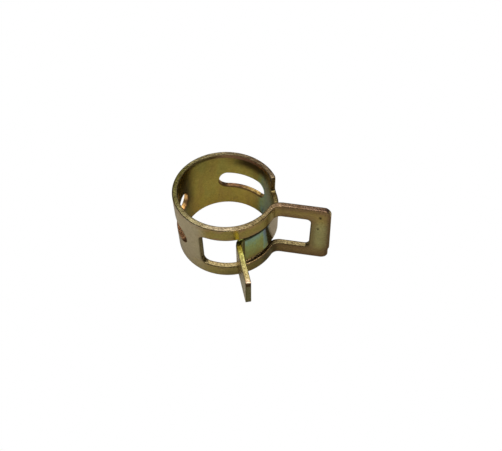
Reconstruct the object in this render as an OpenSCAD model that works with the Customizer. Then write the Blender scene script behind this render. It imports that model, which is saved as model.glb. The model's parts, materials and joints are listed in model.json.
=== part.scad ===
// Spring band hose clamp: one stamped and rolled strip of spring steel.
// One end of the strip is a wide ear with a window, the other a narrow tongue with its own ear.
// The tongue passes through the window, so squeezing the two ears together opens the ring.
//
// The hose axis is Z and the band's mid-width is at Z = 0. The point midway between the ears is on +X.
// Places along the strip are winding angles: degrees about the hose axis, clockwise seen from +Z,
// counted from +X. They grow from the window ear round to the tongue ear, and pass one full turn.

/* [Strip] */
// Inside diameter of the relaxed ring, which seats on the hose
hose_d = 15.4; // [14.8:0.1:16.4]
// Thickness of the strip
strip_t = 0.9; // [0.7:0.05:1.1]
// Width of the strip along the hose
strip_w = 12; // [11.6:0.1:13]

/* [Window ear] */
// Winding angle at which the window ear leaves the ring
window_ear_root = -14; // [-18:0.5:-10]
// Angle between each ear and the X axis
ear_angle = 35; // [30:1:40]
// Length of the flat plate of the window ear
window_ear_l = 8; // [7:0.1:10]
// Length of the solid bar at the tip of the window ear
end_bar_l = 3.2; // [2.5:0.1:4]
// Bend radius of the window ear at mid thickness
window_bend_r = 1.9; // [1.6:0.1:2.2]
// Corner radius at the tip of the window ear
window_tip_r = 1.3; // [0.6:0.1:1.6]

/* [Window] */
// Height of the window
window_h = 7; // [6.6:0.1:7.6]
// Winding angle at which the window ends
window_end = 74; // [68:1:78]
// Corner radius at the ring end of the window
window_ring_r = 1.1; // [0.6:0.1:1.6]
// Corner radius at the ear end of the window
window_ear_r = 0.8; // [0.4:0.1:1.2]

/* [Slots] */
// Height of both flex slots
slot_h = 3.4; // [3:0.1:4]
// Winding angle of the first round end's centre in the front slot
front_slot_start = 106; // [104:0.5:108]
// Winding angle of the second round end's centre in the front slot
front_slot_end = 152.5; // [148:0.5:156]
// Winding angle of the first round end's centre in the back slot
back_slot_start = 226.5; // [222:0.5:230]
// Winding angle of the second round end's centre in the back slot
back_slot_end = 269; // [265:0.5:272]

/* [Tongue] */
// Height of the tongue and of its ear
tongue_h = 5.6; // [5:0.1:6]
// Winding angle of the step from full width down to the tongue
shoulder_at = 297.4; // [294:0.1:300]
// Radius of both curves of that step
shoulder_r = 0.6; // [0.3:0.05:0.65]
// Winding angle at which the tongue ear leaves the ring
tongue_ear_root = 384; // [380:0.5:388]
// Length of the flat plate of the tongue ear
tongue_ear_l = 6.9; // [6:0.1:8]
// Bend radius of the tongue ear at mid thickness
tongue_bend_r = 1.2; // [1:0.1:1.5]
// Corner radius at the tip of the tongue ear
tongue_tip_r = 0.35; // [0.2:0.05:0.8]

/* [Colours] */
// Yellow zinc plating on the wide band
band_colour = "#8d7c47"; // ["#8d7c47", "#a39358"]
// Brighter plating on the tongue
tongue_colour = "#93a07a"; // ["#93a07a", "#a39358"]
// Plating on the ears
ear_colour = "#84733c"; // ["#84733c", "#a39358"]

/* [Hidden] */

$fn = 96;
r_in = hose_d / 2;
r_mid = r_in + strip_t / 2;
half_w = strip_w / 2;
half_window = window_h / 2;
half_slot = slot_h / 2;
half_tongue = tongue_h / 2;

// How far a punch reaches past each face of the strip
reach = 1;

// The flexing stretches are cut into equal segments
rail_count = 5;
ligament_count = 2;
tongue_count = 4;
root_web_end = (front_slot_end + back_slot_start) / 2;
// The plain tongue starts at the first whole degree past the shoulder's fillet
tongue_start = ceil(shoulder_at + asin(shoulder_r / r_mid));
rail_step = (window_end - window_ear_root) / rail_count;
front_step = (front_slot_end - front_slot_start) / ligament_count;
back_step = (back_slot_end - back_slot_start) / ligament_count;
tongue_step = (tongue_ear_root - tongue_start) / tongue_count;

// ---- Building blocks ----

// A stretch of the rolled strip between two winding angles and two heights
module band(from, to, low, high)
    rotate([0, 0, -to])
        rotate_extrude(angle = to - from)
            translate([r_in, low])
                square([strip_t, high - low]);

// Cuts away a stretch of the rolled strip, through both of its faces
module band_cut(from, to, low, high)
    rotate([0, 0, -to])
        rotate_extrude(angle = to - from)
            translate([r_in - reach, low])
                square([strip_t + 2 * reach, high - low]);

// Cuts a flat outline straight through the strip. The outline's x runs back along the strip
// from the given winding angle, and its y runs along the hose.
module punch(at)
    rotate([0, 0, -at])
        translate([r_in - reach, 0, 0])
            rotate([90, 0, 90])
                linear_extrude(strip_t + 2 * reach)
                    children();

// A flat plate from the origin along +X, standing on its edge, with its two far corners rounded
module ear_plate(length, height, corner)
    rotate([90, 0, 0])
        translate([0, 0, -strip_t / 2])
            linear_extrude(strip_t)
                union() {
                    translate([0, -height / 2])
                        square([length - corner, height]);
                    translate([length - corner, corner - height / 2])
                        square([corner, height - 2 * corner]);
                    for (side = [-1, 1])
                        translate([length - corner, side * (height / 2 - corner)])
                            circle(r = corner);
                }

// The bend behind an ear's plate. It starts on the plate's near edge and curves back to the ring.
module ear_bend(radius, angle, low, high)
    translate([0, -radius, 0])
        rotate([0, 0, 90])
            rotate_extrude(angle = angle)
                translate([radius - strip_t / 2, low])
                    square([strip_t, high - low]);

// Where an ear's plate starts, for an ear that leaves the ring at an angle from +X towards +Y
function ear_bend_centre(root, radius) = (r_mid + radius) * [cos(root), sin(root), 0];
function ear_start(root, radius) =
    ear_bend_centre(root, radius) + radius * [-sin(ear_angle), cos(ear_angle), 0];
function ear_bend_angle(root) = 90 - ear_angle + root;

module place_ear(root, radius)
    translate(ear_start(root, radius))
        rotate([0, 0, ear_angle])
            children();

// ---- The window end of the strip ----

module window_ear_opening() {
    opening_l = window_ear_l - end_bar_l;
    rotate([90, 0, 0])
        translate([0, 0, -strip_t / 2 - reach])
            linear_extrude(strip_t + 2 * reach)
                union() {
                    translate([-reach, -half_window])
                        square([reach + opening_l - window_ear_r, window_h]);
                    translate([0, window_ear_r - half_window])
                        square([opening_l, window_h - 2 * window_ear_r]);
                    for (side = [-1, 1])
                        translate([opening_l - window_ear_r, side * (half_window - window_ear_r)])
                            circle(r = window_ear_r);
                }
}

module window_ear() {
    root = -window_ear_root;
    color(ear_colour)
        place_ear(root, window_bend_r)
            union() {
                difference() {
                    ear_plate(window_ear_l, strip_w, window_tip_r);
                    window_ear_opening();
                }
                ear_bend(window_bend_r, ear_bend_angle(root), half_window, half_w);
                ear_bend(window_bend_r, ear_bend_angle(root), -half_w, -half_window);
            }
}

// The ring end of the window, with its two rounded corners
window_corner_at = window_end - asin(window_ring_r / r_mid);

module window_ring_end()
    punch(window_corner_at)
        union() {
            translate([-window_ring_r, window_ring_r - half_window])
                square([2 * window_ring_r, window_h - 2 * window_ring_r]);
            for (side = [-1, 1])
                translate([0, side * (half_window - window_ring_r)])
                    circle(r = window_ring_r);
        }

// One rail segment. The last one carries the fillet in the window's corner.
module rail(i, low, high) {
    from = window_ear_root + (i - 1) * rail_step;
    to = from + rail_step;
    color(band_colour)
        if (i < rail_count)
            band(from, to, low, high);
        else
            difference() {
                band(from, to, low > 0 ? 0 : low, low > 0 ? high : 0);
                band_cut(from - 1, window_corner_at, -half_window, half_window);
                window_ring_end();
            }
}

module upper_rail(i) rail(i, half_window, half_w);
module lower_rail(i) rail(i, -half_w, -half_window);

// ---- The webs and the slots ----

module slot_end(at)
    punch(at) circle(r = half_slot);

module web(from, to, slot_at)
    color(band_colour)
        difference() {
            band(from, to, -half_w, half_w);
            slot_end(slot_at);
        }

module front_web()
    web(window_end, front_slot_start, front_slot_start);

module root_web()
    web(front_slot_end, root_web_end, front_slot_end);

module back_web()
    web(root_web_end, back_slot_start, back_slot_start);

module ligament(start, step, i, low)
    color(band_colour)
        band(start + (i - 1) * step, start + i * step, low, low + half_w - half_slot);

module upper_front_ligament(i) ligament(front_slot_start, front_step, i, half_slot);
module lower_front_ligament(i) ligament(front_slot_start, front_step, i, -half_w);
module upper_back_ligament(i) ligament(back_slot_start, back_step, i, half_slot);
module lower_back_ligament(i) ligament(back_slot_start, back_step, i, -half_w);

// ---- The tongue end of the strip ----

// What is cut away above the tongue: a step with one rounded and one filleted corner.
// The outline is drawn at the step itself, so the tongue's side of it is at negative x.
module shoulder_waste() {
    far = 4;
    tall = 4;
    translate([-far, half_tongue + shoulder_r])
        square([far, tall]);
    translate([-far, half_tongue])
        square([far - shoulder_r, tall]);
    difference() {
        translate([-shoulder_r, half_tongue])
            square([shoulder_r, 2 * shoulder_r]);
        translate([-shoulder_r, half_tongue + shoulder_r])
            difference() {
                translate([0, -shoulder_r])
                    square([shoulder_r, shoulder_r]);
                circle(r = shoulder_r);
            }
    }
    difference() {
        translate([-shoulder_r, half_w - shoulder_r])
            square([2 * shoulder_r, tall]);
        translate([shoulder_r, half_w - shoulder_r])
            circle(r = shoulder_r);
    }
}

module shoulder()
    color(band_colour)
        difference() {
            band(back_slot_end, tongue_start, -half_w, half_w);
            slot_end(back_slot_end);
            punch(shoulder_at) shoulder_waste();
            punch(shoulder_at) mirror([0, 1]) shoulder_waste();
        }

module tongue(i)
    color(tongue_colour)
        band(tongue_start + (i - 1) * tongue_step, tongue_start + i * tongue_step,
             -half_tongue, half_tongue);

module tongue_ear() {
    root = tongue_ear_root - 360;
    color(tongue_colour)
        mirror([0, 1, 0])
            place_ear(root, tongue_bend_r)
                union() {
                    ear_plate(tongue_ear_l, tongue_h, tongue_tip_r);
                    ear_bend(tongue_bend_r, ear_bend_angle(root), -half_tongue, half_tongue);
                }
}

// ---- Output ----

window_ear();
for (i = [1:rail_count]) {
    upper_rail(i);
    lower_rail(i);
}
front_web();
for (i = [1:ligament_count]) {
    upper_front_ligament(i);
    lower_front_ligament(i);
}
root_web();
back_web();
for (i = [1:ligament_count]) {
    upper_back_ligament(i);
    lower_back_ligament(i);
}
shoulder();
for (i = [1:tongue_count])
    tongue(i);
tongue_ear();
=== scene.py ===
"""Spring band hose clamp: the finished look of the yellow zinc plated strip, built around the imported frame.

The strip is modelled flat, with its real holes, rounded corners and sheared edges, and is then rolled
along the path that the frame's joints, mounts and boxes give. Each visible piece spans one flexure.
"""
import json
import math

import bmesh
import bpy
import numpy as np
from mathutils import Matrix, Vector
from mathutils.geometry import delaunay_2d_cdt

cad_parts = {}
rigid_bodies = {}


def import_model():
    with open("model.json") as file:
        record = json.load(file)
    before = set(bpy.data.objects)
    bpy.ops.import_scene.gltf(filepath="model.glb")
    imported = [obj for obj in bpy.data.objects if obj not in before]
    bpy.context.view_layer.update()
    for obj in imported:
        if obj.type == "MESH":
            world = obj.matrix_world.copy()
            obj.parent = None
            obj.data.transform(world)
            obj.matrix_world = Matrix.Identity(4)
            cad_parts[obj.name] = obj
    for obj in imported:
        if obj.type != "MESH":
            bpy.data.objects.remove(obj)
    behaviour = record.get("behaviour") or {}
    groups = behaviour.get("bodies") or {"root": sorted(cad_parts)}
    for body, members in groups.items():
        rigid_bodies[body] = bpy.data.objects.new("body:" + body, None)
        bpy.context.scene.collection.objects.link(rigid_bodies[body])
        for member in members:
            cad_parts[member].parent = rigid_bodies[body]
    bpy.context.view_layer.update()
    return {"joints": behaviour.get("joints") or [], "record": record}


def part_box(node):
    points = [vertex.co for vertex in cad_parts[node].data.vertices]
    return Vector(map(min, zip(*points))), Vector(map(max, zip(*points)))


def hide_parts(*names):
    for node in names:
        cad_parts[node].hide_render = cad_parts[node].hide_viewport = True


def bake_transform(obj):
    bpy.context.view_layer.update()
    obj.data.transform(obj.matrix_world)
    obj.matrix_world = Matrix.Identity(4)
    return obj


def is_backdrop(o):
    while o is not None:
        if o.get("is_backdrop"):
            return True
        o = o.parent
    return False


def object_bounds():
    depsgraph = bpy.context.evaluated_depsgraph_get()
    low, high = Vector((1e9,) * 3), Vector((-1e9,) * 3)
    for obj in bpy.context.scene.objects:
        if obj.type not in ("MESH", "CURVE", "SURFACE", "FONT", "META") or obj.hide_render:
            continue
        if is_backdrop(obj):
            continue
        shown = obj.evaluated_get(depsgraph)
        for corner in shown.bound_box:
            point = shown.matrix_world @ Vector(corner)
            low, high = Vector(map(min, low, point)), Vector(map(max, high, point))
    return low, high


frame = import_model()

# ---------------------------------------------------------------- sizes, in millimetres, from the frame
MM = 1000.0
mounts = {m["name"]: m for m in frame["record"]["mounts"]}
children = {}
for joint in frame["joints"]:
    children.setdefault(joint["parent"], []).append(joint)


def joint_chain(joint):
    """The joints from this one out to the strip's end."""
    chain = [joint]
    while chain[-1]["child"] in children:
        chain.append(children[chain[-1]["child"]][0])
    return chain


def azimuth(joint):
    return math.degrees(math.atan2(joint["pos_m"][1], joint["pos_m"][0]))


chains = [joint_chain(j) for j in children["root_web"]]
chains.sort(key=lambda chain: chain[-1]["child"] != "window_ear")
window_chain, tongue_chain = chains

# Winding angles of the flexures, in degrees: they grow from the window ear round to the tongue ear
window_turns, tongue_turns = [], []
turn = (-azimuth(window_chain[0])) % 360
for joint in window_chain:
    turn -= (turn + azimuth(joint)) % 360
    window_turns.append(turn)
turn = window_turns[0]
for joint in tongue_chain:
    turn += (-azimuth(joint) - turn) % 360
    tongue_turns.append(turn)
TURNS = window_turns[::-1] + tongue_turns
BODIES = [j["child"] for j in window_chain[::-1]] + ["root_web"] + [j["child"] for j in tongue_chain]

R_IN = mounts["hose_seat"]["dims"]["r_mm"]
R_OUT = math.hypot(*window_chain[0]["pos_m"][:2]) * MM
T = R_OUT - R_IN
R_MID = (R_IN + R_OUT) / 2
HALF_W = mounts["hose_seat"]["dims"]["length_mm"] / 2
HALF_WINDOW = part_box("upper_rail_2")[0].z * MM
HALF_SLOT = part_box("upper_front_ligament_1")[0].z * MM
HALF_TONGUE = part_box("tongue_2")[1].z * MM


def on_ring(turn):
    """Distance along the strip, in mm, of a winding angle."""
    return R_MID * math.radians(turn)


def turn_of(body_after):
    """Winding angle of the flexure before that body."""
    return TURNS[BODIES.index(body_after) - 1]


def unit(degrees):
    return np.array([math.cos(math.radians(degrees)), math.sin(math.radians(degrees))])


class Ear:
    """One ear's bend and plate. side is +1 for the window ear, whose tip is at +Y, and -1 for the other."""

    def __init__(self, side, turn, pad, node):
        self.side = side
        self.start = on_ring(turn)
        self.ring_angle = -turn
        normal = -np.array(pad["axis"][:2], float)
        plate_angle = math.degrees(math.atan2(normal[1], normal[0]))
        foot = np.array(pad["pos_m"][:2], float) * MM + normal * T / 2
        ring_normal = unit(self.ring_angle)
        offset, tilt = -normal @ foot, -normal @ ring_normal
        self.radius = (offset - R_MID * tilt) / (1 + tilt)
        self.centre = (R_MID + self.radius) * ring_normal
        self.bend_length = self.radius * math.radians((self.ring_angle - plate_angle) * side % 360)
        self.along = np.array([-normal[1], normal[0]]) * side
        plate_start = self.centre - self.radius * normal
        self.length = (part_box(node)[1].x * MM - T / 2 * normal[0] - plate_start[0]) / self.along[0]
        self.tip = self.start - side * (self.bend_length + self.length)

    def place(self, beyond):
        """(point, outer normal's angle) at a distance beyond the ring's end."""
        turned = min(beyond, self.bend_length) / self.radius
        angle = self.ring_angle - self.side * math.degrees(turned)
        point = self.centre - self.radius * unit(angle)
        return point + max(beyond - self.bend_length, 0.0) * self.along, angle


WINDOW_EAR = Ear(1, TURNS[0], mounts["window_ear_pad"], "window_ear")
TONGUE_EAR = Ear(-1, TURNS[-1], mounts["tongue_ear_pad"], "tongue_ear")

# Details of the stamping in mm, with winding angles in degrees
END_BAR = 3.3
WINDOW_TIP_R = 1.3
WINDOW_EAR_R = 0.8
WINDOW_RING_R = 1.1
TONGUE_TIP_R = 0.35
SHOULDER_TURN = 297.4
SHOULDER_R = 0.6
ROLLOVER_R = 0.24
HOLE_ROLLOVER_R = 0.15
BURR_R = 0.06
# Share of the rollover that is missing on the tongue's ear, which is sheared sharper than the band
EAR_ROLLOVER_CUT = 0.55
# How far the tongue rides inside the rails, less at its ear's root, and above the window's middle
TONGUE_INSET = 0.30
ROOT_INSET = 0.18
TONGUE_LIFT = 0.04
# Where these begin, as degrees before the tongue ear, and the degrees over which they grow
TONGUE_INSET_TURNS = (68, 34)
ROOT_INSET_TURNS = (14, 14)
TONGUE_LIFT_TURNS = (70, 40)
# The ring is wider along X and narrower along Y by this share of its size
OVALITY = 0.009
# Slopes of the tongue ear's plate, of the window ear's sides and of the window ear's end edge
TONGUE_EAR_LEAN = math.tan(math.radians(1.1))
EAR_LEAN = math.tan(math.radians(1.3))
TIP_LEAN = math.tan(math.radians(2.3))
# Distance from the window ear's tip where the end edge's shape begins to show, and the length of its fade
TIP_FADE_START, TIP_FADE = 1.5, 1.2
# The end edge's shear step: its size, height and length
TIP_STEP = 0.2
TIP_STEP_Z = -3.4
TIP_STEP_LENGTH = 0.3
# Distance from the window ear's tip, height and radius of two small pits in its bar
PITS = ((1.85, 4.2, 0.24), (2.05, 1.45, 0.18))
PIT_DEPTH = 0.1
# Rings of a pit's side: share of its radius, share of its depth, tilt of the normal
PIT_RINGS = ((1.0, 0.0, 0.3), (0.55, 0.7, 0.6))
PIT_SIDES = 10
# Spacing of the mesh on the faces and edges, and on the corners' arcs, and steps of an edge's two radii
GRID = 0.42
ARC_STEP = 0.13
MIN_ARC_STEPS = 6
ROLLOVER_STEPS = 6
BURR_STEPS = 3
SAME_POINT = 1e-7
ON_CUT = 1e-5


def smooth(x):
    x = min(1.0, max(0.0, x))
    return x * x * (3 - 2 * x)


def place(s):
    """(point on the mid surface, outer normal's angle in degrees) at a distance s along the strip."""
    if s < WINDOW_EAR.start:
        return WINDOW_EAR.place(WINDOW_EAR.start - s)
    if s > TONGUE_EAR.start:
        return TONGUE_EAR.place(s - TONGUE_EAR.start)
    angle = -math.degrees(s / R_MID)
    return R_MID * unit(angle), angle


def before_tongue_ear(s, from_turn, over_turns):
    """0 until from_turn before the tongue ear, then 1 within over_turns, in degrees of winding angle."""
    return smooth((s - on_ring(TURNS[-1] - from_turn)) / on_ring(over_turns))


def to_space(s, z, h):
    """Metres in the row frame of a point of the flat strip: s along it, z across it, h out of it."""
    # The window ear's end edge leans a little, and has a small shear step near its lower corner
    plate = smooth((WINDOW_EAR.start - WINDOW_EAR.bend_length - s) / WINDOW_EAR.length)
    tip = smooth((WINDOW_EAR.tip + TIP_FADE_START - s) / TIP_FADE)
    step = TIP_STEP * smooth((TIP_STEP_Z - z) / TIP_STEP_LENGTH + 0.5)
    s += plate * z * EAR_LEAN + tip * (z * TIP_LEAN + step)
    point, angle = place(s)
    # The tongue rides a little inside the rails and above the window's middle
    inset = TONGUE_INSET * before_tongue_ear(s, *TONGUE_INSET_TURNS)
    inset -= (TONGUE_INSET - ROOT_INSET) * before_tongue_ear(s, *ROOT_INSET_TURNS)
    lean = max(s - TONGUE_EAR.start - TONGUE_EAR.bend_length, 0.0) * TONGUE_EAR_LEAN
    lift = TONGUE_LIFT * before_tongue_ear(s, *TONGUE_LIFT_TURNS)
    point = point + (h - inset + lean) * unit(angle)
    return Vector((point[0] * (1 + OVALITY), point[1] * (1 - OVALITY), z + lift)) / MM


def direction(s, flat):
    """A direction of the flat strip, turned into the row frame."""
    step = 0.02
    along = to_space(s + step, 0, 0) - to_space(s - step, 0, 0)
    along.z = 0
    along.normalize()
    return Vector((flat[0] * along.x - flat[2] * along.y, flat[0] * along.y + flat[2] * along.x, flat[1]))


# ---------------------------------------------------------------- the flat strip
def outline(corners):
    """A closed outline through rounded corners (s, z, radius), with the metal on the left of its travel.
    Gives points and the normals that point out of the metal."""
    points, normals = [], []
    count = len(corners)
    xy = [np.array(c[:2], float) for c in corners]
    ends = []
    for i, (s, z, r) in enumerate(corners):
        before = xy[i] - xy[i - 1]
        after = xy[(i + 1) % count] - xy[i]
        before, after = before / np.linalg.norm(before), after / np.linalg.norm(after)
        side = math.copysign(1, before[0] * after[1] - before[1] * after[0])
        heading = math.atan2(before[1], before[0])
        right = np.array([before[1], -before[0]])
        start = xy[i] - before * r
        centre = start - side * r * right
        steps = max(MIN_ARC_STEPS, math.ceil(r * math.pi / 2 / ARC_STEP))
        arc = []
        for k in range(steps + 1):
            a = heading + side * math.pi / 2 * k / steps
            n = np.array([math.sin(a), -math.cos(a)])
            arc.append((centre + side * r * n, n))
        ends.append(arc)
    for i, arc in enumerate(ends):
        points += [p for p, n in arc]
        normals += [n for p, n in arc]
        a, b = arc[-1][0], ends[(i + 1) % count][0][0]
        pieces = max(1, math.ceil(np.linalg.norm(b - a) / GRID))
        for k in range(1, pieces):
            points.append(a + (b - a) * k / pieces)
            normals.append(arc[-1][1])
    return np.array(points), np.array(normals)


def hole(start, end, half, r_start, r_end):
    """Travels the other way round, so the metal stays on the left."""
    return outline([(start, -half, r_start), (start, half, r_start), (end, half, r_end), (end, -half, r_end)])


shoulder = on_ring(SHOULDER_TURN)
# The slots' ends are round, but for a very short flat that keeps the two corners' arcs apart
round_end = HALF_SLOT - 1e-3
# Each outline's points and normals, with the radius of its rollover
LOOPS = [
    (*outline([
        (WINDOW_EAR.tip, -HALF_W, WINDOW_TIP_R), (shoulder, -HALF_W, SHOULDER_R),
        (shoulder, -HALF_TONGUE, SHOULDER_R), (TONGUE_EAR.tip, -HALF_TONGUE, TONGUE_TIP_R),
        (TONGUE_EAR.tip, HALF_TONGUE, TONGUE_TIP_R), (shoulder, HALF_TONGUE, SHOULDER_R),
        (shoulder, HALF_W, SHOULDER_R), (WINDOW_EAR.tip, HALF_W, WINDOW_TIP_R),
    ]), ROLLOVER_R),
    (*hole(WINDOW_EAR.tip + END_BAR, on_ring(turn_of("front_web")), HALF_WINDOW, WINDOW_EAR_R, WINDOW_RING_R),
     HOLE_ROLLOVER_R),
    (*hole(on_ring(turn_of("front_ligament_1")) - HALF_SLOT, on_ring(turn_of("root_web")) + HALF_SLOT,
           HALF_SLOT, round_end, round_end), HOLE_ROLLOVER_R),
    (*hole(on_ring(turn_of("back_ligament_1")) - HALF_SLOT, on_ring(turn_of("shoulder")) + HALF_SLOT,
           HALF_SLOT, round_end, round_end), HOLE_ROLLOVER_R),
]


def inside(points, loops):
    """Which points lie in the metal that the loops bound."""
    result = np.zeros(len(points), bool)
    for loop in loops:
        for p, q in zip(loop, np.roll(loop, -1, axis=0)):
            if p[1] != q[1]:
                crosses = (p[1] > points[:, 1]) != (q[1] > points[:, 1])
                at = (q[0] - p[0]) * (points[:, 1] - p[1]) / (q[1] - p[1]) + p[0]
                result ^= crosses & (points[:, 0] < at)
    return result


def distance_to_edges(points):
    """How far inside the metal each point is, below 0 outside it."""
    loops = [loop for loop, normals, rollover in LOOPS]
    best = np.full(len(points), np.inf)
    for loop in loops:
        for p, q in zip(loop, np.roll(loop, -1, axis=0)):
            d = q - p
            t = np.clip(((points - p) @ d) / (d @ d), 0, 1)
            best = np.minimum(best, np.linalg.norm(points - p - t[:, None] * d, axis=1))
    return np.where(inside(points, loops), best, -best)


def profile(rollover):
    """Rings of an edge, from the outer face over the rollover, down the sheared wall, to the inner face:
    (distance in from the outline, height, slope of the normal in degrees)."""
    rings = []
    for k in range(ROLLOVER_STEPS + 1):
        a = math.radians(90 * k / ROLLOVER_STEPS)
        rings.append((rollover * (1 - math.sin(a)), T / 2 - rollover * (1 - math.cos(a)), math.degrees(a)))
    rings.append((0.0, 0.0, 90.0))
    for k in range(BURR_STEPS, -1, -1):
        a = math.radians(90 * k / BURR_STEPS)
        rings.append((BURR_R * (1 - math.sin(a)), BURR_R * (1 - math.cos(a)) - T / 2, 180 - math.degrees(a)))
    return rings


def rollover_at(s, rollover):
    """The radius of an edge's rollover, which shrinks over the last mm before the tongue ear."""
    return rollover * (1 - EAR_ROLLOVER_CUT * smooth(s - TONGUE_EAR.start + 1.0))


def face_points():
    """Points inside the two faces: (s, z, depth of the outer face, tilt of its normal away from +s, +z)."""
    low, high = LOOPS[0][0].min(0), LOOPS[0][0].max(0)
    along, across = (round(x / GRID) for x in high - low)
    grid = np.array([
        (low[0] + (high[0] - low[0]) * (i + 0.5 * (j % 2)) / along, low[1] + (high[1] - low[1]) * j / across)
        for i in range(along) for j in range(across + 1)
    ])
    clear = ROLLOVER_R + 0.5 * GRID
    found = [(s, z, 0.0, 0.0, 0.0) for s, z in grid[distance_to_edges(grid) > clear]]
    for from_tip, z, r in PITS:
        s = WINDOW_EAR.tip + from_tip
        found = [f for f in found if math.hypot(f[0] - s, f[1] - z) > 1.5 * r]
        found.append((s, z, PIT_DEPTH, 0.0, 0.0))
        for share, depth, tilt in PIT_RINGS:
            for side in range(PIT_SIDES):
                u = unit(360 * side / PIT_SIDES)
                found.append((s + r * share * u[0], z + r * share * u[1], depth * PIT_DEPTH, tilt * u[0],
                              tilt * u[1]))
    return found


def flat_strip():
    """The whole strip, flat and closed, with coordinates, flat normals and edge distance on its vertices."""
    bm = bmesh.new()
    strip = bm.verts.layers.float_vector.new("strip")
    normal = bm.verts.layers.float_vector.new("flat_normal")
    depth = bm.verts.layers.float.new("edge")

    def vertex(s, z, h, n, d):
        v = bm.verts.new((s, z, h))
        v[strip], v[normal], v[depth] = (s, z, h), n, d
        return v

    top, bottom, flat, links, rims = [], [], [], [], []
    for points, normals, rollover in LOOPS:
        rollovers = np.array([rollover_at(p[0], rollover) for p in points])
        rings = []
        for ring in zip(*(profile(r) for r in rollovers)):
            rings.append([])
            for p, n, (inset, height, slope) in zip(points, normals, ring):
                up, out = math.cos(math.radians(slope)), math.sin(math.radians(slope))
                rings[-1].append(vertex(*(p - n * inset), height, (n[0] * out, n[1] * out, up), inset))
        for a, b in zip(rings, rings[1:]):
            for i in range(len(a)):
                j = (i + 1) % len(a)
                bm.faces.new((a[i], b[i], b[j], a[j]))
        first = len(flat)
        rims.append(points - normals * rollovers[:, None])
        flat += [tuple(p) for p in rims[-1]]
        links += [(first + i, first + (i + 1) % len(points)) for i in range(len(points))]
        top += rings[0]
        bottom += rings[-1]
    extra = face_points()
    deep = distance_to_edges(np.array([f[:2] for f in extra]))
    for (s, z, dent, tilt_s, tilt_z), d in zip(extra, deep):
        flat.append((s, z))
        top.append(vertex(s, z, T / 2 - dent, (-tilt_s, -tilt_z, 1), d))
        bottom.append(vertex(s, z, -T / 2, (0, 0, -1), d))
    made = delaunay_2d_cdt([Vector(p) for p in flat], links, [], 0, SAME_POINT)
    verts, triangles, origin = made[0], made[2], made[3]
    centres = np.array([np.mean([verts[i] for i in tri], axis=0) for tri in triangles])
    for tri, kept in zip(triangles, inside(centres, rims)):
        if kept:
            ids = [origin[i][0] for i in tri]
            bm.faces.new([top[i] for i in ids])
            bm.faces.new([bottom[i] for i in reversed(ids)])
    return bm


FLAT = flat_strip()


def cut(bm, axis, at, keep_above):
    """Keeps one side of the flat strip and closes the cut."""
    normal = Vector((0, 0, 0))
    normal[axis] = 1
    co = Vector((0, 0, 0))
    co[axis] = at
    geometry = bm.verts[:] + bm.edges[:] + bm.faces[:]
    bmesh.ops.bisect_plane(bm, geom=geometry, dist=ON_CUT, plane_co=co, plane_no=normal,
                           clear_inner=keep_above, clear_outer=not keep_above)
    rim = [e for e in bm.edges if e.is_boundary]
    if rim:
        bmesh.ops.holes_fill(bm, edges=rim, sides=0)


def piece(name, start, end, half=0):
    """One closed stretch of the strip as an object. half is +1 or -1 for only its upper or lower side."""
    bm = FLAT.copy()
    if start is not None:
        cut(bm, 0, start, True)
    if end is not None:
        cut(bm, 0, end, False)
    if half:
        cut(bm, 1, 0.0, half > 0)
    bmesh.ops.triangulate(bm, faces=[f for f in bm.faces if len(f.verts) > 4])
    flat_normal = bm.verts.layers.float_vector["flat_normal"]
    strip = bm.verts.layers.float_vector["strip"]
    normals = []
    for v in bm.verts:
        s, z, h = v.co
        v[strip] = (s, z, h)
        normals.append(direction(s, v[flat_normal].normalized()))
        v.co = to_space(s, z, h)
    bm.verts.layers.float_vector.remove(flat_normal)
    bmesh.ops.recalc_face_normals(bm, faces=bm.faces[:])
    if bm.calc_volume(signed=True) < 0:
        bmesh.ops.reverse_faces(bm, faces=bm.faces[:])
    mesh = bpy.data.meshes.new(name)
    bm.to_mesh(mesh)
    bm.free()
    mesh.shade_smooth()
    mesh.normals_split_custom_set_from_vertices(normals)
    obj = bpy.data.objects.new(name, mesh)
    bpy.context.scene.collection.objects.link(obj)
    return obj


# ---------------------------------------------------------------- the pieces, one across each flexure
# How far an end piece's hinge span reaches from its flexure on the ear's side, in mm
EAR_BLEND = 0.6


def add_pieces():
    """Cuts the strip midway between the flexures, so that each piece spans its own flexure."""
    stations = [on_ring(turn) for turn in TURNS]
    borders = [None] + [(a + b) / 2 for a, b in zip(stations, stations[1:])] + [None]
    nodes_of = frame["record"]["behaviour"]["bodies"]
    pieces = []
    for i, station in enumerate(stations):
        before, after = BODIES[i], BODIES[i + 1]
        child = before if i < len(window_chain) else after
        start, end = borders[i], borders[i + 1]
        hinge_from = station - EAR_BLEND if start is None else start
        hinge_to = station + EAR_BLEND if end is None else end
        a, b = to_space(hinge_from, 0, 0), to_space(hinge_to, 0, 0)
        # Where both bodies have two nodes, the piece is cut into upper and lower halves, each standing for
        # its own node; the cut faces aren't square to the chord
        halves = {"": 0}
        if all(len(nodes_of[body]) == 2 for body in (before, after)):
            halves = {"upper_": 1, "lower_": -1}
        for prefix, half in halves.items():
            stands_for = [n for n in nodes_of[child] if n.startswith(prefix)]
            if child == window_chain[0]["child"]:
                stands_for += nodes_of["root_web"]
            obj = piece(prefix + before + "_to_" + after, start, end, half)
            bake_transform(obj)
            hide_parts(*stands_for)
            pieces.append(obj)
    return pieces


pieces = add_pieces()
FLAT.free()


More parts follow.
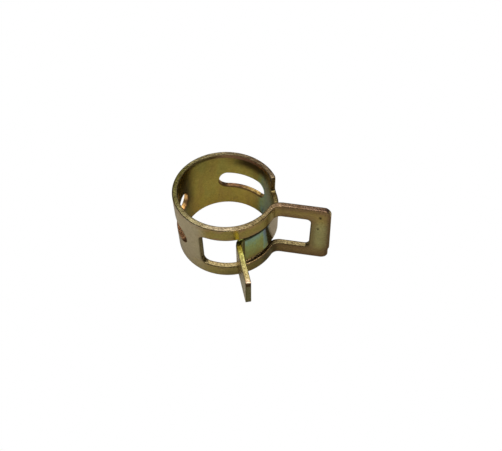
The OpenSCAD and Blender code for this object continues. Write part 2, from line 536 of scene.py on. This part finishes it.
# ---------------------------------------------------------------- the plating
class Nodes:
    """A short way to write a node tree."""

    def __init__(self, tree):
        self.tree = tree
        tree.nodes.clear()

    def add(self, kind, inputs=None, **settings):
        node = self.tree.nodes.new(kind)
        for key, value in settings.items():
            setattr(node, key, value)
        for key, value in (inputs or {}).items():
            self.put(node.inputs[key], value)
        return node

    def put(self, socket, value):
        if isinstance(value, bpy.types.NodeSocket):
            self.tree.links.new(value, socket)
        else:
            socket.default_value = value

    def math(self, operation, a, b=0.0, c=0.0):
        return self.add("ShaderNodeMath", {0: a, 1: b, 2: c}, operation=operation).outputs[0]

    def add_up(self, value, *terms):
        """value plus each (mask, amount)."""
        for mask, amount in terms:
            value = self.math("MULTIPLY_ADD", mask, amount, value)
        return value

    def both(self, *masks):
        """Where all of the masks are."""
        result = masks[0]
        for mask in masks[1:]:
            result = self.math("MULTIPLY", result, mask)
        return result

    def step(self, value, none, full):
        """0 up to none, 1 beyond full, smooth between. none may be above full."""
        node = self.add("ShaderNodeMapRange", {"Value": value}, interpolation_type="SMOOTHSTEP")
        if none < full:
            pairs = (("From Min", none), ("From Max", full), ("To Min", 0.0), ("To Max", 1.0))
        else:
            pairs = (("From Min", full), ("From Max", none), ("To Min", 1.0), ("To Max", 0.0))
        for key, x in pairs:
            node.inputs[key].default_value = x
        return node.outputs["Result"]

    def mix(self, factor, a, b, blend="MIX", label=""):
        node = self.add("ShaderNodeMix", data_type="RGBA", blend_type=blend, label=label)
        self.put(node.inputs[0], factor)
        for index, value in ((6, a), (7, b)):
            self.put(node.inputs[index], value if isinstance(value, bpy.types.NodeSocket) else (*value, 1.0))
        return node.outputs[2]

    def noise(self, vector, scale, detail, rough, stretch=None):
        """A noise from 0 to 1."""
        if stretch:
            vector = self.add("ShaderNodeMapping", {"Vector": vector, "Scale": stretch}).outputs[0]
        node = self.add("ShaderNodeTexNoise", {"Vector": vector, "Scale": scale, "Detail": detail,
                                               "Roughness": rough})
        return node.outputs["Fac"]

    def ramp(self, factor, stops):
        node = self.add("ShaderNodeValToRGB", {"Fac": factor})
        elements = node.color_ramp.elements
        while len(elements) > 1:
            elements.remove(elements[-1])
        elements[0].position, elements[0].color = stops[0][0], (*stops[0][1], 1.0)
        for position, colour in stops[1:]:
            elements.new(position).color = (*colour, 1.0)
        return node.outputs["Color"]


class Place:
    """A place on the strip: the named places that it lies in, and where it fades along the coordinates.
    A fade is the coordinate's value where there is none of it and where it is full, and for a place with two
    ends also where it is full last and where there is none again. The coordinates are s, z and h in mm, turn
    for the winding angle, middle for the height above or below the middle line, edge for the distance in from
    the edge, up for how far the surface faces up, or a name from NOISES or SLANTS."""

    def __init__(self, *names, **fades):
        self.names = names
        self.fades = fades


# Scale per mm, detail, roughness, and how much the strip is squeezed along (s, z, h) first
NOISES = {
    "patches": (0.30, 3.0, 0.5),
    "mottle": (1.5, 5.0, 0.6),
    "speckle": (4.0, 3.0, 0.7),
    "clouds": (0.42, 2.0, 0.5, (1.0, 0.45, 1.0)),
    "rosy": (0.8, 3.0, 0.5),
    "streaks": (2.4, 4.0, 0.6, (0.4, 1.3, 1.6)),
    "grains": (3.4, 3.0, 0.6),
    "fine": (3.6, 4.0, 0.7),
    "grain": (8.0, 3.0, 0.5),
    "rolling": (1.6, 3.0, 0.5, (0.5, 2.6, 2.6)),
    "coarse": (3.2, 3.0, 0.6),
}
# Coordinates that are another one plus a share of a third: (first, share, third)
SLANTS = {
    # The two slanted edges of the painted dark reflection across the tongue
    "stain_start": ("s", -0.34, "z"),
    "stain_end": ("s", -0.17, "z"),
    "tear": ("h", 0.35, "uneven mottle"),
}
# Places that have a name. A later one may lie in an earlier one.
PLACES = {
    "outside": Place(h=(-0.1, 0.1)),
    "inside": Place(h=(0.1, -0.1)),
    "wall": Place(edge=(0.12, 0.0), h=(0.005 - T / 2, 0.04 - T / 2)),
    "torn": Place("wall", tear=(-0.10, -0.30)),
    "side": Place(middle=(HALF_W - 0.5, HALF_W - 0.2)),
    "tongue": Place("outside", turn=(346, 352, 384.5, 385.5)),
    # Painted dark reflection: a slanted near-black strip across the tongue
    "stain": Place("outside", stain_start=(on_ring(346.2), on_ring(347.4)),
                   stain_end=(on_ring(354), on_ring(352.4))),
    "lower rail": Place("outside", z=(-3.2, -3.4)),
    "slots": Place(turn=(96, 100, 276, 280), middle=(HALF_SLOT + 0.4, HALF_SLOT + 0.2)),
    "window": Place(turn=(80, 78), middle=(HALF_WINDOW + 0.3, HALF_WINDOW + 0.1)),
    "nest": Place(turn=(338, 342), s=(TONGUE_EAR.start + 0.6, TONGUE_EAR.start + 0.1)),
    "bar": Place(s=(WINDOW_EAR.tip + 5.0, WINDOW_EAR.tip + 2.2), z=(-5.0, -2.0, 1.5, 4.5)),
    "end": Place("wall", s=(TONGUE_EAR.tip - 0.3, TONGUE_EAR.tip - 0.2), up=(0.5, 0.2)),
}

# The chromate film's colours as it gets thicker
FILM = [
    (0.00, (0.30, 0.17, 0.095)),
    (0.18, (0.36, 0.235, 0.095)),
    (0.38, (0.34, 0.25, 0.065)),
    (0.54, (0.32, 0.28, 0.075)),
    (0.70, (0.35, 0.44, 0.155)),
    (0.85, (0.27, 0.43, 0.31)),
    (1.00, (0.27, 0.38, 0.49)),
]
FILM_ON_BAND = 0.42
# How much thicker the film is by place. The tongue's upper edge is blue.
THICKER = [
    (0.25, Place("tongue")),
    (0.20, Place("tongue", "height on tongue")),
    (0.20, Place("tongue", turn=(360.5, 358.5))),
    (0.45, Place("inside", turn=(258, 282, 360, 384))),
    (-0.14, Place(s=(WINDOW_EAR.start - 1.0, WINDOW_EAR.start - 3.0))),
    (0.26, Place("bar", "outside")),
]
UNEVEN_FILM = (("patches", 0.36), ("mottle", 0.30), ("speckle", 0.25))

# Tints: what they show, how much, the colour and the place. Most are the film's own colour; those named
# painted are painted shade, shadow or reflection
OUTSIDE_TINTS = [
    ("grey front", 0.55, (0.36, 0.31, 0.225), Place("outside", turn=(68, 96, 170, 300))),
    ("pale front web", 0.6, (0.54, 0.47, 0.335), Place("outside", turn=(62, 78, 104, 120))),
    ("pinkish grey shoulder", 0.9, (0.61, 0.53, 0.42), Place("outside", turn=(286, 312, 347, 353))),
    ("grey tongue ear", 0.75, (0.54, 0.475, 0.31), Place(s=(TONGUE_EAR.start + 0.8, TONGUE_EAR.start + 1.2))),
    ("rosy beside the edges", 0.6, (0.36, 0.20, 0.12),
     Place(edge=(1.1, 0.1), rosy=(0.35, 0.65), middle=(HALF_SLOT + 0.8, HALF_SLOT + 1.4))),
]
INSIDE_TINTS = [
    ("bright back", 0.75, (0.58, 0.45, 0.095), Place("inside", turn=(156, 180, 250, 274))),
    ("gold below the back slot", 0.5, (0.66, 0.47, 0.10),
     Place("inside", turn=(230, 246, 260, 276), z=(-1.0, -2.5))),
    ("brown clouds", 0.35, (0.44, 0.27, 0.085), Place("inside", clouds=(0.50, 0.64))),
    ("green clouds", 0.30, (0.44, 0.44, 0.11), Place("inside", clouds=(0.50, 0.36))),
    # Painted shadow on the inner face under the back edge
    ("dark under the back edge", 0.94, (0.045, 0.025, 0.009),
     Place("inside", turn=(220, 252, 314, 346), z=(HALF_W - 3.0, HALF_W - 1.4))),
    ("rosy back edge", 0.8, (0.38, 0.20, 0.12),
     Place("inside", turn=(196, 220, 273, 297), z=(HALF_W - 0.8, HALF_W - 0.5))),
    # Painted shade on the inner left side: nearly black in its upper part, and dark under its edge
    ("dark left", 0.35, (0.12, 0.10, 0.045), Place("inside", turn=(98, 126, 156, 184))),
    ("nearly black upper left", 0.96, (0.012, 0.009, 0.005),
     Place("inside", turn=(98, 126, 157, 185), z=(-4.0, -0.5))),
    ("dark left edge", 0.8, (0.09, 0.062, 0.022),
     Place("inside", turn=(116, 136, 208, 228), z=(HALF_W - 0.8, HALF_W - 0.4))),
    ("grey shoulder", 0.5, (0.29, 0.32, 0.27), Place("inside", turn=(276, 292, 327, 343))),
    ("brown below the slots", 0.8, (0.12, 0.045, 0.02),
     Place("inside", "slots", edge=(0.35, 0.2), z=(0.2, -0.6))),
]
RAIL_TINTS = [
    ("gold lower rail", 0.4, (0.50, 0.40, 0.15), Place("lower rail", turn=(24, 40, 77, 93))),
    ("brown below the ear", 0.45, (0.20, 0.12, 0.06),
     Place("lower rail", s=(WINDOW_EAR.start, WINDOW_EAR.start - 1.0))),
]
RAIL_SHADES = [
    ("shade under the tongue ear", 0.8, (0.55, 0.58, 0.72), Place("lower rail", turn=(-22, -6, 12, 28))),
    ("shade under the tongue", 0.9, (0.28, 0.30, 0.36), Place("lower rail", turn=(-31, -21, -3, 7))),
]
DETAIL_TINTS = [
    # Painted dark reflection across the tongue, near black
    ("stain across the tongue", 0.95, (0.03, 0.035, 0.014), Place("stain")),
    # Painted shade along the tongue's edges, where the rails shade the narrow gaps
    ("tongue's dark edges", 0.85, (0.04, 0.04, 0.02),
     Place("tongue", middle=(HALF_TONGUE - 0.35, HALF_TONGUE - 0.15))),
    # Painted shade in the tight bend at the tongue ear's root
    ("crease at the tongue ear", 0.85, (0.045, 0.045, 0.018),
     Place("outside", s=(TONGUE_EAR.start + 0.03, TONGUE_EAR.start + 0.27,
                         TONGUE_EAR.start + 0.63, TONGUE_EAR.start + 0.87))),
    ("pale bar", 0.5, (0.44, 0.40, 0.19), Place("bar", "outside")),
    ("brown round the window ear", 0.6, (0.17, 0.10, 0.045),
     Place(s=(WINDOW_EAR.start, WINDOW_EAR.start - 2.0), edge=(1.6, 0.3))),
    # Painted shade on the outer face's rollover round the window
    ("dark window rim", 0.7, (0.07, 0.05, 0.02),
     Place("outside", turn=(80, 78), edge=(0.32, 0.10),
           middle=(HALF_WINDOW + 0.4, HALF_WINDOW + 0.3))),
    ("brown end of the window ear", 0.7, (0.13, 0.07, 0.035),
     Place("outside", s=(WINDOW_EAR.tip + 0.75, WINDOW_EAR.tip + 0.2))),
]
# Painted shade in the two small pits: how much, and its colour
PIT_SHADE = (0.8, (0.06, 0.04, 0.015))

# Sheared walls of the outline and holes: lime gold near the tongue ear, changed by place, with a painted
# highlight at the tongue ear's tip
HOLE_WALL = (0.37, 0.385, 0.09)
HOLE_WALL_TINTS = [
    ("gold tongue ear", 1.0, (0.46, 0.36, 0.16), Place(s=(TONGUE_EAR.start + 1.0, TONGUE_EAR.tip))),
    ("rosy tip", 1.0, (0.66, 0.47, 0.30), Place(s=(TONGUE_EAR.tip - 0.9, TONGUE_EAR.tip - 0.2))),
    ("brass shoulder", 1.0, (0.25, 0.19, 0.07), Place(turn=(198, 200, 339, 341))),
    ("gold window", 1.0, (0.42, 0.32, 0.15), Place(turn=(200, 198))),
]
SLOT_WALL = (0.29, 0.15, 0.07)
# Painted highlights on the slot walls: gold at the back slot's end, bright orange at the front slot's end
SLOT_WALL_TINTS = [
    ("gold end of the back slot", 1.0, (0.58, 0.38, 0.12), Place(turn=(240, 258))),
    ("bright end of the front slot", 1.0, (0.95, 0.52, 0.18), Place(turn=(135, 141, 165, 171))),
]
NEST_TINTS = [
    # Painted shade on the window walls that don't face up
    ("dark window walls that face down", 0.9, (0.07, 0.06, 0.02), Place("window", up=(0.7, 0.1))),
    ("dark outer half of the window walls", 0.6, (0.25, 0.20, 0.09), Place("window", h=(-0.25, 0.05))),
    ("bright window wall behind the ear", 0.9, (0.70, 0.46, 0.20), Place("window", turn=(-19, -13, 23, 29))),
    # Painted shade on the walls in the gap beside the tongue's root
    ("dark beside the tongue", 0.92, (0.03, 0.03, 0.015),
     Place("nest", middle=(HALF_TONGUE - 0.2, HALF_TONGUE - 0.1))),
    # Painted shade on the shoulder step's walls that don't face up
    ("dark shoulder step", 0.85, (0.11, 0.07, 0.022), Place(turn=(291, 293, 299.5, 301.5), up=(0.8, 0.4))),
]
# Colours of the slit sides by winding angle, from the window ear round to the shoulder: partly the film's own
# colour and partly painted light, lighter on the front rim where the light catches it and darker on the dim
# left rim
SIDES = [
    (-80, (0.24, 0.145, 0.095)),
    (-25, (0.27, 0.175, 0.095)),
    (0, (0.26, 0.195, 0.085)),
    (25, (0.28, 0.215, 0.105)),
    (50, (0.42, 0.335, 0.21)),
    (85, (0.32, 0.27, 0.13)),
    (118, (0.14, 0.12, 0.04)),
    (165, (0.13, 0.115, 0.03)),
    (215, (0.38, 0.31, 0.155)),
    (255, (0.23, 0.16, 0.09)),
    (297, (0.22, 0.16, 0.09)),
]
# How the walls' grain darkens and brightens them, and how the fine mottle does so on the faces
SPARKLE = [(0.34, (0.62, 0.55, 0.48)), (0.50, (1.0, 1.0, 1.0)), (0.66, (1.4, 1.4, 1.5))]
FINE_MOTTLE = [(0.30, (0.75, 0.74, 0.72)), (0.70, (1.22, 1.22, 1.24))]
# The inner part of a sheared wall, and the tongue ear's end
BREAK_TINTS = [
    ("torn inner part of the walls", 0.45, (0.14, 0.10, 0.05), Place("torn")),
    ("dark line along the burr", 0.6, (0.06, 0.045, 0.02), Place("wall", h=(0.18 - T / 2, 0.08 - T / 2))),
    ("tongue ear's end", 0.9, (0.09, 0.088, 0.028), Place("end")),
    ("dark top of that end", 0.92, (0.04, 0.018, 0.005),
     Place("end", z=(HALF_TONGUE - 1.25, HALF_TONGUE - 0.85))),
]
# Painted shade: everything that faces down is darkened
DOWNWARD_SHADES = [("darker film that faces down", 0.85, (0.22, 0.18, 0.13), Place(up=(-0.02, -0.22)))]

METAL_EDGE_TINT = (0.86, 0.78, 0.62, 1.0)
ROUGHNESS = 0.23
UNEVEN_ROUGHNESS = (("grain", 0.12), ("mottle", 0.20), ("speckle", 0.10))
TORN_ROUGHNESS = 0.08
# Rolling lines along the strip, a fine grain, and a coarse one that is stronger on the sheared walls
BUMPS = (("rolling", 0.35), ("grain", 0.20), ("coarse", 0.55))
WALL_BUMP = 1.1
BUMP_STRENGTH = 0.6
BUMP_DISTANCE = 0.06 / MM


class Strip(Nodes):
    """The plating's node tree, which knows the strip's coordinates, noises and places."""

    def __init__(self, tree):
        super().__init__(tree)
        self.at = self.add("ShaderNodeAttribute", attribute_name="strip").outputs["Vector"]
        s, z, h = self.add("ShaderNodeSeparateXYZ", {0: self.at}).outputs
        facing = self.add("ShaderNodeNewGeometry").outputs["Normal"]
        self.noises = {name: self.noise(self.at, *settings) for name, settings in NOISES.items()}
        self.coordinates = {
            "s": s,
            "turn": s,  # mask() turns its fades into mm
            "z": z,
            "h": h,
            "middle": self.math("ABSOLUTE", z),
            "edge": self.add("ShaderNodeAttribute", attribute_name="edge").outputs["Fac"],
            "up": self.add("ShaderNodeSeparateXYZ", {0: facing}).outputs["Z"],
            "uneven mottle": self.uneven("mottle"),
            **self.noises,
        }
        for name, (first, share, third) in SLANTS.items():
            self.coordinates[name] = self.math("MULTIPLY_ADD", self.coordinates[third], share,
                                               self.coordinates[first])
        self.places = {"height on tongue": self.math("MULTIPLY", z, 1 / HALF_TONGUE)}
        for name, place in PLACES.items():
            self.places[name] = self.mask(place)

    def uneven(self, name):
        """A noise around 0."""
        return self.math("SUBTRACT", self.noises[name], 0.5)

    def mask(self, place):
        """1 in the place, fading to 0 round it."""
        masks = [self.places[name] for name in place.names]
        for key, ends in place.fades.items():
            if key == "turn":
                ends = [on_ring(turn) for turn in ends]
            masks.append(self.step(self.coordinates[key], *ends[:2]))
            if len(ends) == 4:
                masks.append(self.step(self.coordinates[key], ends[3], ends[2]))
        return self.both(*masks)

    def tinted(self, colour, tints, blend="MIX"):
        """The colour with each tint of a list put over it in turn."""
        for what, amount, tint, place in tints:
            factor = self.math("MULTIPLY", self.mask(place), amount)
            colour = self.mix(factor, colour, tint, blend, label=what)
        return colour


def pitted(n, colour):
    """Painted shade in the two small pits."""
    amount, dark = PIT_SHADE
    for from_tip, z, r in PITS:
        away = n.add("ShaderNodeVectorMath", {0: n.at, 1: (WINDOW_EAR.tip + from_tip, z, T / 2)},
                     operation="DISTANCE").outputs["Value"]
        colour = n.mix(n.math("MULTIPLY", n.step(away, r * 1.2, r * 0.4), amount), colour, dark, label="pit")
    return colour


def wall_colour(n):
    """Sheared walls: gold where a hole was punched, copper in slots, by winding angle on the slit sides, with
    painted highlights and painted shade in places.
    """
    holes = n.tinted(HOLE_WALL, HOLE_WALL_TINTS)
    holes = n.mix(n.places["slots"], holes, n.tinted(SLOT_WALL, SLOT_WALL_TINTS))
    holes = n.tinted(holes, NEST_TINTS)
    low, high = WINDOW_EAR.tip, on_ring(SHOULDER_TURN)
    along = n.math("MULTIPLY_ADD", n.coordinates["s"], 1 / (high - low), -low / (high - low))
    sides = n.ramp(along, [((on_ring(turn) - low) / (high - low), colour) for turn, colour in SIDES])
    streaks, grains = n.noises["streaks"], n.noises["grains"]
    tone = n.math("MULTIPLY_ADD", n.math("SUBTRACT", streaks, grains), n.places["side"], grains)
    return n.mix(1.0, n.mix(n.places["side"], holes, sides), n.ramp(tone, SPARKLE), "MULTIPLY")


def film_colour_and_painted_light(n):
    """The faces with their tints and painted shade, the walls, a fine mottle over the faces, and painted
    shade on all that faces down.
    """
    film = n.add_up(FILM_ON_BAND, *((n.mask(place), amount) for amount, place in THICKER))
    film = n.add_up(film, *((n.uneven(name), amount) for name, amount in UNEVEN_FILM))
    colour = n.tinted(n.ramp(film, FILM), OUTSIDE_TINTS + INSIDE_TINTS + RAIL_TINTS)
    colour = n.tinted(colour, RAIL_SHADES, "MULTIPLY")
    colour = n.tinted(colour, DETAIL_TINTS)
    colour = pitted(n, colour)
    colour = n.mix(n.places["wall"], colour, wall_colour(n))
    colour = n.tinted(colour, BREAK_TINTS)
    on_faces = n.math("SUBTRACT", 1.0, n.places["wall"])
    colour = n.mix(on_faces, colour, n.ramp(n.noises["fine"], FINE_MOTTLE), "MULTIPLY")
    return n.tinted(colour, DOWNWARD_SHADES, "MULTIPLY")


def plating():
    """The plated steel, with painted shade, highlights and a dark reflection in its colour. The strip's rest
    coordinates drive it all, so it moves with the metal.
    """
    material = bpy.data.materials.new("yellow_zinc_plating")
    material.use_nodes = True
    n = Strip(material.node_tree)
    rough = n.add_up(ROUGHNESS, (n.places["torn"], TORN_ROUGHNESS))
    rough = n.add_up(rough, *((n.uneven(name), amount) for name, amount in UNEVEN_ROUGHNESS))
    near_wall = n.both(n.noises["coarse"], n.mask(Place(edge=(0.25, 0.0))))
    height = n.add_up(0.0, *((n.noises[name], amount) for name, amount in BUMPS), (near_wall, WALL_BUMP))
    bump = n.add("ShaderNodeBump", {"Height": height, "Strength": BUMP_STRENGTH, "Distance": BUMP_DISTANCE})
    shader = n.add("ShaderNodeBsdfPrincipled", {
        "Base Color": film_colour_and_painted_light(n),
        "Metallic": 1.0,
        "Roughness": rough,
        "Specular Tint": METAL_EDGE_TINT,
        "Normal": bump.outputs[0],
    })
    n.add("ShaderNodeOutputMaterial", {"Surface": shader.outputs[0]})
    return material


metal = plating()
for obj in pieces:
    obj.data.materials.append(metal)


# ---------------------------------------------------------------- studio
CAMERA_AZIMUTH = -41.6
CAMERA_ELEVATION = 50.19
CAMERA_DISTANCE = 92.8
CAMERA_PAN, CAMERA_TILT, CAMERA_ROLL = 2.42, -1.441, -3.281
CAMERA_LENS = 39.52
SENSOR = 36.0
FLOOR_HALF = 0.5
FLOOR_GAP = 1e-5
WHITE = (1, 1, 1, 1)
PAPER = (0.85, 0.85, 0.85, 1)
# The room's light: as the height of its direction goes from the first to the second, its strength rises
SKY_FROM, SKY_TO = 0.55, 0.90
SKY_STRENGTH, SKY_RISE = 0.12, 0.20
LAMP_DISTANCE = 0.25


def floor():
    """A wide square just below the clamp, which the camera sees as white."""
    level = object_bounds()[0].z - FLOOR_GAP
    mesh = bpy.data.meshes.new("floor")
    corners = [(x * FLOOR_HALF, y * FLOOR_HALF, level) for x, y in ((-1, -1), (1, -1), (1, 1), (-1, 1))]
    mesh.from_pydata(corners, [], [(0, 1, 2, 3)])
    obj = bpy.data.objects.new("floor", mesh)
    bpy.context.scene.collection.objects.link(obj)
    material = bpy.data.materials.new("pale_floor")
    material.use_nodes = True
    n = Nodes(material.node_tree)
    paper = n.add("ShaderNodeBsdfDiffuse", {"Color": PAPER})
    glow = n.add("ShaderNodeEmission", {"Color": WHITE})
    ray = n.add("ShaderNodeLightPath").outputs["Is Camera Ray"]
    shader = n.add("ShaderNodeMixShader", {0: ray, 1: paper.outputs[0], 2: glow.outputs[0]})
    n.add("ShaderNodeOutputMaterial", {"Surface": shader.outputs[0]})
    mesh.materials.append(material)
    obj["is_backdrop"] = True


def from_middle(azimuth_angle, elevation):
    """Unit vector from the object's middle towards a direction in degrees."""
    flat = unit(azimuth_angle)
    el = math.radians(elevation)
    return Vector((flat[0] * math.cos(el), flat[1] * math.cos(el), math.sin(el)))


def soft_box(name, azimuth_angle, elevation, size, radiance):
    """A square soft light that faces the object's middle."""
    away = from_middle(azimuth_angle, elevation)
    data = bpy.data.lights.new(name, "AREA")
    data.shape = "SQUARE"
    data.size = size
    data.energy = radiance * math.pi * size * size
    lamp = bpy.data.objects.new(name, data)
    turn = away.to_track_quat("Z", "Y").to_matrix().to_4x4()
    lamp.matrix_world = Matrix.Translation(away * LAMP_DISTANCE) @ turn
    bpy.context.scene.collection.objects.link(lamp)


def room():
    """A dim room, brighter overhead, which the camera sees as white."""
    world = bpy.data.worlds.new("studio")
    world.use_nodes = True
    n = Nodes(world.node_tree)
    where = n.add("ShaderNodeTexCoord").outputs["Generated"]
    height = n.add("ShaderNodeSeparateXYZ", {0: where}).outputs["Z"]
    sky = n.math("MULTIPLY_ADD", n.step(height, SKY_FROM, SKY_TO), SKY_RISE, SKY_STRENGTH)
    ray = n.add("ShaderNodeLightPath").outputs["Is Camera Ray"]
    strength = n.math("MULTIPLY_ADD", n.math("SUBTRACT", 1.0, sky), ray, sky)
    background = n.add("ShaderNodeBackground", {"Color": WHITE, "Strength": strength})
    n.add("ShaderNodeOutputWorld", {"Surface": background.outputs[0]})
    bpy.context.scene.world = world


floor()
room()
soft_box("key", CAMERA_AZIMUTH + 22, elevation=51, size=0.12, radiance=3.6)
soft_box("back", CAMERA_AZIMUTH + 195, elevation=64, size=0.14, radiance=1.7)
soft_box("overhead", CAMERA_AZIMUTH, elevation=89, size=0.30, radiance=0.45)
bpy.context.scene.view_settings.view_transform = "Standard"


# ---------------------------------------------------------------- camera
def swing(a, b, degrees):
    """Turns a towards b, and b away from a."""
    c, s = math.cos(math.radians(degrees)), math.sin(math.radians(degrees))
    return a * c + b * s, b * c - a * s


def make_camera():
    """The photo's camera: it faces the object's middle, and is then panned, tilted and rolled a little."""
    away = from_middle(CAMERA_AZIMUTH, CAMERA_ELEVATION)
    forward = -away
    flat = unit(CAMERA_AZIMUTH)
    right = Vector((-flat[1], flat[0], 0.0))
    up = right.cross(forward)
    forward, right = swing(forward, right, CAMERA_PAN)
    forward, up = swing(forward, up, CAMERA_TILT)
    right, up = swing(right, up, CAMERA_ROLL)
    data = bpy.data.cameras.new("camera")
    data.sensor_width = SENSOR
    data.lens = CAMERA_LENS
    data.clip_start, data.clip_end = 0.005, 10.0
    camera = bpy.data.objects.new("camera", data)
    turn = Matrix((right, up, -forward)).transposed().to_4x4()
    camera.matrix_world = Matrix.Translation(away * CAMERA_DISTANCE / MM) @ turn
    bpy.context.scene.collection.objects.link(camera)
    bpy.context.scene.camera = camera


make_camera()
